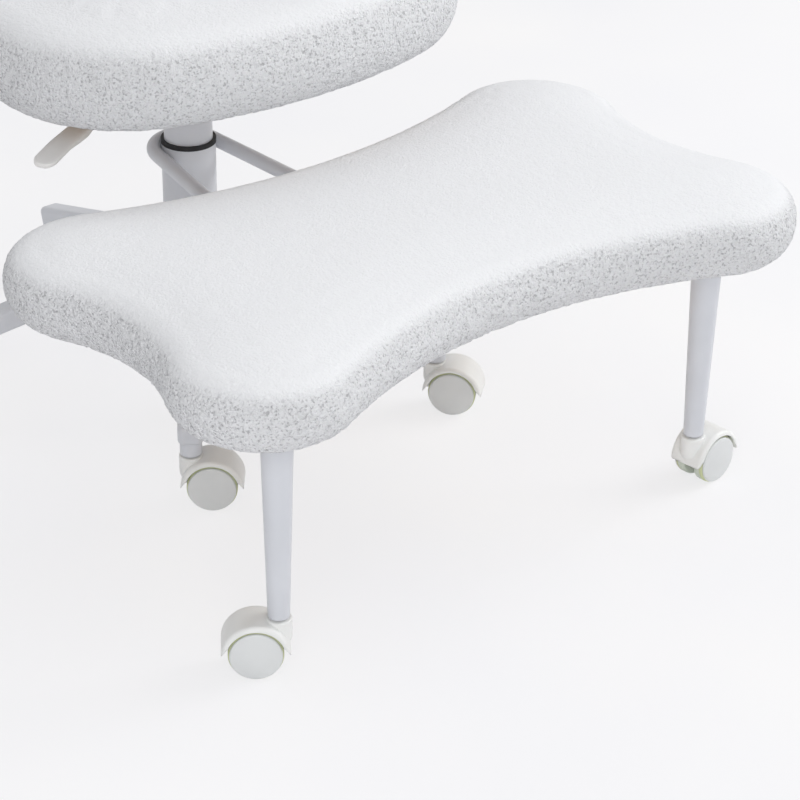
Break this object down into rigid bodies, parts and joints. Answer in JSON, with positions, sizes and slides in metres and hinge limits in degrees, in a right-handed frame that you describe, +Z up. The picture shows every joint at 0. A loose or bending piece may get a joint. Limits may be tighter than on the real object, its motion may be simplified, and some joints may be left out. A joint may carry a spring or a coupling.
{
  "type": "cross-legged office chair",
  "caption": "Fleece-covered swivel chair on a gas lift and star base, with a lobed foot stool that orbits the column on casters for sitting cross-legged.",
  "frame": {"origin": "on the floor under the column's axis", "axes": "+Z up along the column, -Y towards the stool and the sitter's feet, +X to the sitter's left"},
  "size_m": [0.702, 0.8823, 0.8593],
  "materials": {
    "fleece": "looped fleece",
    "grey_paint": "satin powder coat",
    "black_paint": "gloss black",
    "black_plastic": "matte",
    "steel": "zinc plated",
    "plywood": "bare",
    "hood_plastic": "satin",
    "wheel_plastic": "satin",
    "lever_plastic": "satin"
  },
  "bodies": {
    "base": {"base_hub": "grey_paint", "base_legs": "grey_paint", "base_caster_stems": "steel", "gas_outer_tube": "grey_paint", "gas_guide_bush": "black_plastic", "gas_thrust_bearing": "steel"},
    "gas_rod": {"gas_piston_rod": "steel", "gas_rod_clip": "steel"},
    "seat": {"gas_cylinder": "black_paint", "seat_plate": "grey_paint", "seat_bolts": "steel", "seat_board": "plywood", "seat_cushion": "fleece", "back_bracket": "grey_paint", "back_board": "plywood", "back_cushion": "fleece", "back_bolts": "steel"},
    "lever": {"lever_rod": "steel", "lever_paddle": "lever_plastic"},
    "release_pin": {"gas_release_pin": "steel"},
    "stool": {"stool_sleeve": "grey_paint", "sleeve_upper_bush": "black_plastic", "sleeve_lower_bush": "black_plastic", "stool_hairpin": "grey_paint", "stool_mount_plate": "grey_paint", "stool_board": "plywood", "stool_cushion": "fleece", "stool_leg_left": "grey_paint", "stool_leg_right": "grey_paint", "stool_screws": "steel", "stool_caster_stems": "steel"},
    "base_caster_1": {"base_caster_1_hood": "hood_plastic", "base_caster_1_axle": "steel"},
    "base_caster_1_wheel_left": {"base_caster_1_wheel_left": "wheel_plastic"},
    "base_caster_1_wheel_right": {"base_caster_1_wheel_right": "wheel_plastic"},
    "base_caster_2": {"base_caster_2_hood": "hood_plastic", "base_caster_2_axle": "steel"},
    "base_caster_2_wheel_left": {"base_caster_2_wheel_left": "wheel_plastic"},
    "base_caster_2_wheel_right": {"base_caster_2_wheel_right": "wheel_plastic"},
    "base_caster_3": {"base_caster_3_hood": "hood_plastic", "base_caster_3_axle": "steel"},
    "base_caster_3_wheel_left": {"base_caster_3_wheel_left": "wheel_plastic"},
    "base_caster_3_wheel_right": {"base_caster_3_wheel_right": "wheel_plastic"},
    "base_caster_4": {"base_caster_4_hood": "hood_plastic", "base_caster_4_axle": "steel"},
    "base_caster_4_wheel_left": {"base_caster_4_wheel_left": "wheel_plastic"},
    "base_caster_4_wheel_right": {"base_caster_4_wheel_right": "wheel_plastic"},
    "base_caster_5": {"base_caster_5_hood": "hood_plastic", "base_caster_5_axle": "steel"},
    "base_caster_5_wheel_left": {"base_caster_5_wheel_left": "wheel_plastic"},
    "base_caster_5_wheel_right": {"base_caster_5_wheel_right": "wheel_plastic"},
    "stool_caster_left": {"stool_caster_left_hood": "hood_plastic", "stool_caster_left_axle": "steel"},
    "stool_caster_left_wheel_left": {"stool_caster_left_wheel_left": "wheel_plastic"},
    "stool_caster_left_wheel_right": {"stool_caster_left_wheel_right": "wheel_plastic"},
    "stool_caster_right": {"stool_caster_right_hood": "hood_plastic", "stool_caster_right_axle": "steel"},
    "stool_caster_right_wheel_left": {"stool_caster_right_wheel_left": "wheel_plastic"},
    "stool_caster_right_wheel_right": {"stool_caster_right_wheel_right": "wheel_plastic"}
  },
  "joints": [
    {"name": "stool_orbit", "type": "hinge", "parent": "base", "child": "stool", "pos_m": [0, 0, 0.22], "axis": [0, 0, 1], "continuous": true},
    {"name": "seat_swivel", "type": "hinge", "parent": "base", "child": "gas_rod", "pos_m": [0, 0, 0.2], "axis": [0, 0, 1], "continuous": true},
    {"name": "seat_lift", "type": "slide", "parent": "gas_rod", "child": "seat", "axis": [0, 0, 1], "range_m": [0, 0.08]},
    {"name": "lever_lift", "type": "hinge", "parent": "seat", "child": "lever", "pos_m": [-0.04085, -0.01887, 0.37269], "axis": [-0.4195, 0.9078, 0], "range_deg": [0, 5], "stiffness_Nm_per_rad": 0.5, "springref_deg": -8.59},
    {"name": "valve_press", "type": "slide", "parent": "seat", "child": "release_pin", "axis": [0, 0, -1], "range_m": [0, 0.004]},
    {"name": "base_caster_1_swivel", "type": "hinge", "parent": "base", "child": "base_caster_1", "pos_m": [-0.15576, -0.21439, 0.05], "axis": [0, 0, 1], "continuous": true},
    {"name": "base_caster_1_roll_left", "type": "hinge", "parent": "base_caster_1", "child": "base_caster_1_wheel_left", "pos_m": [-0.13977, -0.22753, 0.025], "axis": [0.6347, 0.7727, 0], "continuous": true},
    {"name": "base_caster_1_roll_right", "type": "hinge", "parent": "base_caster_1", "child": "base_caster_1_wheel_right", "pos_m": [-0.13977, -0.22753, 0.025], "axis": [0.6347, 0.7727, 0], "continuous": true},
    {"name": "base_caster_2_swivel", "type": "hinge", "parent": "base", "child": "base_caster_2", "pos_m": [0.15576, -0.21439, 0.05], "axis": [0, 0, 1], "continuous": true},
    {"name": "base_caster_2_roll_left", "type": "hinge", "parent": "base_caster_2", "child": "base_caster_2_wheel_left", "pos_m": [0.16907, -0.23025, 0.025], "axis": [0.766, 0.6428, 0], "continuous": true},
    {"name": "base_caster_2_roll_right", "type": "hinge", "parent": "base_caster_2", "child": "base_caster_2_wheel_right", "pos_m": [0.16907, -0.23025, 0.025], "axis": [0.766, 0.6428, 0], "continuous": true},
    {"name": "base_caster_3_swivel", "type": "hinge", "parent": "base", "child": "base_caster_3", "pos_m": [0.25203, 0.08189, 0.05], "axis": [0, 0, 1], "continuous": true},
    {"name": "base_caster_3_roll_left", "type": "hinge", "parent": "base_caster_3", "child": "base_caster_3_wheel_left", "pos_m": [0.26238, 0.09982, 0.025], "axis": [-0.866, 0.5, 0], "continuous": true},
    {"name": "base_caster_3_roll_right", "type": "hinge", "parent": "base_caster_3", "child": "base_caster_3_wheel_right", "pos_m": [0.26238, 0.09982, 0.025], "axis": [-0.866, 0.5, 0], "continuous": true},
    {"name": "base_caster_4_swivel", "type": "hinge", "parent": "base", "child": "base_caster_4", "pos_m": [0, 0.265, 0.05], "axis": [0, 0, 1], "continuous": true},
    {"name": "base_caster_4_roll_left", "type": "hinge", "parent": "base_caster_4", "child": "base_caster_4_wheel_left", "pos_m": [-0.01331, 0.28086, 0.025], "axis": [-0.766, -0.6428, 0], "continuous": true},
    {"name": "base_caster_4_roll_right", "type": "hinge", "parent": "base_caster_4", "child": "base_caster_4_wheel_right", "pos_m": [-0.01331, 0.28086, 0.025], "axis": [-0.766, -0.6428, 0], "continuous": true},
    {"name": "base_caster_5_swivel", "type": "hinge", "parent": "base", "child": "base_caster_5", "pos_m": [-0.25203, 0.08189, 0.05], "axis": [0, 0, 1], "continuous": true},
    {"name": "base_caster_5_roll_left", "type": "hinge", "parent": "base_caster_5", "child": "base_caster_5_wheel_left", "pos_m": [-0.27079, 0.07314, 0.025], "axis": [0.4226, -0.9063, 0], "continuous": true},
    {"name": "base_caster_5_roll_right", "type": "hinge", "parent": "base_caster_5", "child": "base_caster_5_wheel_right", "pos_m": [-0.27079, 0.07314, 0.025], "axis": [0.4226, -0.9063, 0], "continuous": true},
    {"name": "stool_caster_left_swivel", "type": "hinge", "parent": "stool", "child": "stool_caster_left", "pos_m": [0.258, -0.4915, 0.05], "axis": [0, 0, 1], "continuous": true},
    {"name": "stool_caster_left_roll_left", "type": "hinge", "parent": "stool_caster_left", "child": "stool_caster_left_wheel_left", "pos_m": [0.27859, -0.48934, 0.025], "axis": [-0.1045, 0.9945, 0], "continuous": true},
    {"name": "stool_caster_left_roll_right", "type": "hinge", "parent": "stool_caster_left", "child": "stool_caster_left_wheel_right", "pos_m": [0.27859, -0.48934, 0.025], "axis": [-0.1045, 0.9945, 0], "continuous": true},
    {"name": "stool_caster_right_swivel", "type": "hinge", "parent": "stool", "child": "stool_caster_right", "pos_m": [-0.258, -0.4915, 0.05], "axis": [0, 0, 1], "continuous": true},
    {"name": "stool_caster_right_roll_left", "type": "hinge", "parent": "stool_caster_right", "child": "stool_caster_right_wheel_left", "pos_m": [-0.27475, -0.47933, 0.025], "axis": [-0.5878, -0.809, 0], "continuous": true},
    {"name": "stool_caster_right_roll_right", "type": "hinge", "parent": "stool_caster_right", "child": "stool_caster_right_wheel_right", "pos_m": [-0.27475, -0.47933, 0.025], "axis": [-0.5878, -0.809, 0], "continuous": true}
  ],
  "couplings": [
    {"joint": "valve_press", "follows": "lever_lift", "m_per_rad": 0.045}
  ]
}
